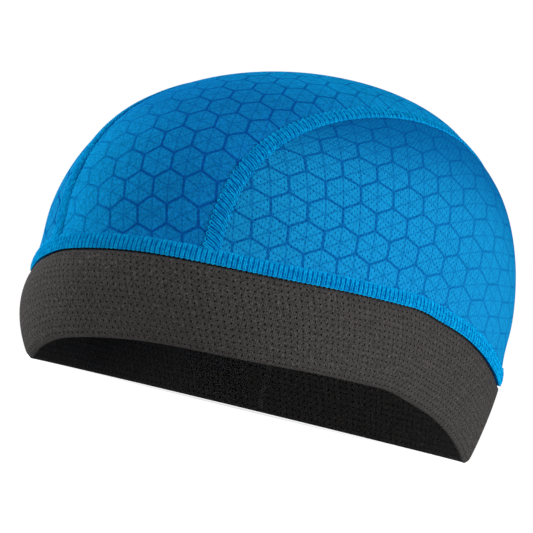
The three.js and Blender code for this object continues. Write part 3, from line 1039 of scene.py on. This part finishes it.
def band_join():
    """The upright join of the band's ends: a low ridge with cross threads, inside and out."""
    middle = math.radians(JOIN_ANGLE)
    turn = 0.01
    here = band_point(middle, BAND_HEIGHT, 0.0)
    beside = band_point(middle + turn, BAND_HEIGHT, 0.0)
    per_mm = turn / np.linalg.norm(here - beside)
    off = np.linspace(-1, 1, JOIN_STATIONS) * (JOIN_WIDTH / 2 - JOIN_MARGIN)
    heights = np.linspace(JOIN_BOTTOM, JOIN_TOP, JOIN_ROWS)
    proud = JOIN_LIFT + JOIN_RIDGE * (1 - (off / off[-1]) ** RIDGE_FLATNESS)[:, None]
    angle = (middle + off * per_mm)[:, None]
    outside = band_point(angle, heights, -proud)
    points, quads, _ = shell(outside, band_point(angle, heights, BAND_CLOTH + proud))
    parts = [(points, quads, np.zeros((len(points), 2)))]
    off = np.linspace(-1, 1, JOIN_STATIONS) * (JOIN_WIDTH / 2)
    angle = middle + off * per_mm
    level = np.linspace(LOWEST_THREAD, HIGHEST_THREAD, JOIN_THREADS)[:, None] + THREAD_SLOPE * off
    level_way = unit(here * np.array([1, 1, 0]))
    ending = np.abs(off) > THREAD_END
    width = THREAD_WIDTH * np.where(ending, END_SHARE, 1.0)
    proud = THREAD_PROUD - THREAD_SINK * ending
    for inward, way in ((-proud, 1), (BAND_CLOTH + proud, -1)):
        paths = band_point(angle, level, inward)
        outward = np.broadcast_to(level_way * way, paths.shape)
        parts.append(tubes(paths, outward, width, width * THREAD_FLATNESS))
    points, quads, uv, part = joined(parts)
    slots = np.zeros_like(part)
    piece = make_piece("band_join_stitching", points, quads, {"weave": uv}, slots, [DARK_THREAD])
    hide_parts("band_join")


strip = centre_panel()
left = side_panel(1, "mesh_side_left", "side_panel_left")
right = side_panel(-1, "mesh_side_right", "side_panel_right")
side_seam(1, "seam_stitching_left", "seam_left")
side_seam(-1, "seam_stitching_right", "seam_right")
band_seam()
ring = band()
band_join()


# Camera: just above the floor, turned to the wearer's left, rolled as in the photograph

CAMERA_AZIMUTH = math.radians(32.07)
CAMERA_ROLL = math.radians(13.72)
CAMERA_DISTANCE = 2500.0
CAMERA_HEIGHT = 15.0
PIXELS_PER_MM = 2.86
FRAME_PIXELS = 533
SENSOR_WIDTH = 36.0
# The point that the camera looks at before it is moved, and where this is from the picture's middle
TARGET = Vector((0.0, 4.0, 58.0))
TARGET_RIGHT_PIXELS = 27.2
TARGET_UP_PIXELS = 15.4


def axes(position, target):
    """The camera's directions: ahead, to the picture's right and up it."""
    look = (target - position).normalized()
    right = look.cross(Vector((0, 0, 1))).normalized()
    up = right.cross(look)
    across = right * math.cos(CAMERA_ROLL) + up * math.sin(CAMERA_ROLL)
    above = up * math.cos(CAMERA_ROLL) - right * math.sin(CAMERA_ROLL)
    return look, across, above


def place_camera():
    position = Vector((
        TARGET.x + CAMERA_DISTANCE * math.sin(CAMERA_AZIMUTH),
        TARGET.y - CAMERA_DISTANCE * math.cos(CAMERA_AZIMUTH),
        CAMERA_HEIGHT,
    ))
    _, across, above = axes(position, TARGET)
    aim = TARGET - (across * TARGET_RIGHT_PIXELS + above * TARGET_UP_PIXELS) / PIXELS_PER_MM
    look, across, above = axes(position, aim)
    data = bpy.data.cameras.new("camera")
    camera = new_object("camera", data)
    turn = Matrix((across, above, -look)).transposed().to_4x4()
    camera.matrix_world = Matrix.Translation((position + Vector(SHIFT)) / 1000) @ turn
    data.sensor_width = SENSOR_WIDTH
    data.lens = PIXELS_PER_MM * CAMERA_DISTANCE * SENSOR_WIDTH / FRAME_PIXELS
    data.clip_start = 0.05
    data.clip_end = 50.0
    bpy.context.scene.camera = camera


place_camera()


# Floor and light

FLOOR_REACH = 0.17
FLOOR_CORNERS = 96
# The share of the floor's whiteness that lights the cap, and how white it looks under the cap's middle,
# greyed there as a painted shadow
FLOOR_LIGHT = 0.15
FLOOR_SHADE = 0.75
# The floor's colour away from the cap, and under it, painted dark as a shadow
FLOOR_PALE = (0.8, 0.8, 0.8, 1.0)
FLOOR_SHADOW_GREY = (0.15, 0.15, 0.15, 1.0)
# Sizes of the cap's outline on the floor between which its colour, its light and its look change; the colour
# and the look darken under the cap as a painted shadow
COLOUR_CHANGE = (0.70, 0.95)
LIGHT_CHANGE = (0.80, 0.96)
LOOK_CHANGE = (0.2, 0.9)
WORLD_LIGHT = 0.05
WORLD_WHITE = 1.02


def stage_floor():
    turns = [2 * math.pi * k / FLOOR_CORNERS for k in range(FLOOR_CORNERS)]
    spots = [(FLOOR_REACH * math.cos(turn), FLOOR_REACH * math.sin(turn), 0.0) for turn in turns]
    data = bpy.data.meshes.new("floor")
    data.from_pydata(spots, [], [list(range(FLOOR_CORNERS))])
    floor = new_object("floor", data)
    shader = Shader("floor_paper", 0.9)
    shader.give("Emission Color", (1, 1, 1, 1))
    place = shader.node("ShaderNodeTexCoord").outputs["Object"]
    spot = shader.node("ShaderNodeSeparateXYZ", Vector=place)
    shares = []
    for axis, middle, half in (("X", SHIFT[0], HALF_WIDTH), ("Y", SHIFT[1], HALF_LENGTH)):
        away = shader.math("ABSOLUTE", shader.minus(spot.outputs[axis], middle / 1000))
        shares.append(shader.math("POWER", shader.math("DIVIDE", away, half / 1000), PLAN_POWER))
    size = shader.math("POWER", shader.plus(*shares), 1 / PLAN_POWER)
    # Painted shadow: the floor's colour is dark under the cap
    shader.paint(shader.mix(shader.fade(size, *COLOUR_CHANGE), FLOOR_PALE, FLOOR_SHADOW_GREY))
    seen = shader.node("ShaderNodeLightPath").outputs["Is Camera Ray"]
    lighting = shader.fade(size, *LIGHT_CHANGE, 0.0, FLOOR_LIGHT)
    # To the camera the floor is white, with a painted shadow of grey under the cap's middle
    showing = shader.fade(size, *LOOK_CHANGE, FLOOR_SHADE, 1.0)
    shader.give("Emission Strength", shader.fade(seen, 0.0, 1.0, lighting, showing))
    data.materials.append(shader.material)


def area_light(name, azimuth, elevation, distance, size, power, aim=(0.0, 0.0, 0.07)):
    """A soft light round the cap: azimuth from the front of the head towards its left, in degrees."""
    data = bpy.data.lights.new(name, "AREA")
    data.shape = "RECTANGLE"
    data.size, data.size_y = size
    data.energy = power
    light = new_object(name, data)
    a, e = math.radians(azimuth), math.radians(elevation)
    aim = Vector(aim)
    place = aim + distance * Vector((math.sin(a) * math.cos(e), -math.cos(a) * math.cos(e), math.sin(e)))
    turn = (aim - place).to_track_quat("-Z", "Y").to_matrix().to_4x4()
    light.matrix_world = Matrix.Translation(place) @ turn


def world():
    """White to the camera, and a weak light on the cap."""
    sky = bpy.data.worlds.new("studio")
    bpy.context.scene.world = sky
    sky.use_nodes = True
    tree = sky.node_tree
    background = tree.nodes["Background"]
    background.inputs["Color"].default_value = (1, 1, 1, 1)
    rays = tree.nodes.new("ShaderNodeLightPath")
    level = tree.nodes.new("ShaderNodeMapRange")
    level.inputs["To Min"].default_value = WORLD_LIGHT
    level.inputs["To Max"].default_value = WORLD_WHITE
    tree.links.new(rays.outputs["Is Camera Ray"], level.inputs["Value"])
    tree.links.new(level.outputs[0], background.inputs["Strength"])


stage_floor()
world()
# Name, azimuth, elevation, distance, size and power
area_light("light_side", 85, 10, 1.1, (0.6, 0.6), 9.2)
area_light("light_right", 118, 14, 1.1, (0.7, 0.7), 2.4)
area_light("light_left", -85, 14, 1.1, (0.5, 0.7), 5.6)
area_light("light_back_left", -130, 30, 1.1, (0.6, 0.6), 6.7)
area_light("light_front_left", -40, 20, 1.2, (0.6, 0.6), 6.0)
area_light("light_back", 190, 35, 1.1, (0.6, 0.6), 1.0)
area_light("light_front", 5, 45, 1.2, (0.6, 0.6), 3.0)
# A weak light in the hollow, for the inside of the band's far side
area_light("light_inside", 0, 25, 0.08, (0.06, 0.02), 0.02, (0.010, 0.094, 0.01))
bpy.context.scene.view_settings.view_transform = "Standard"
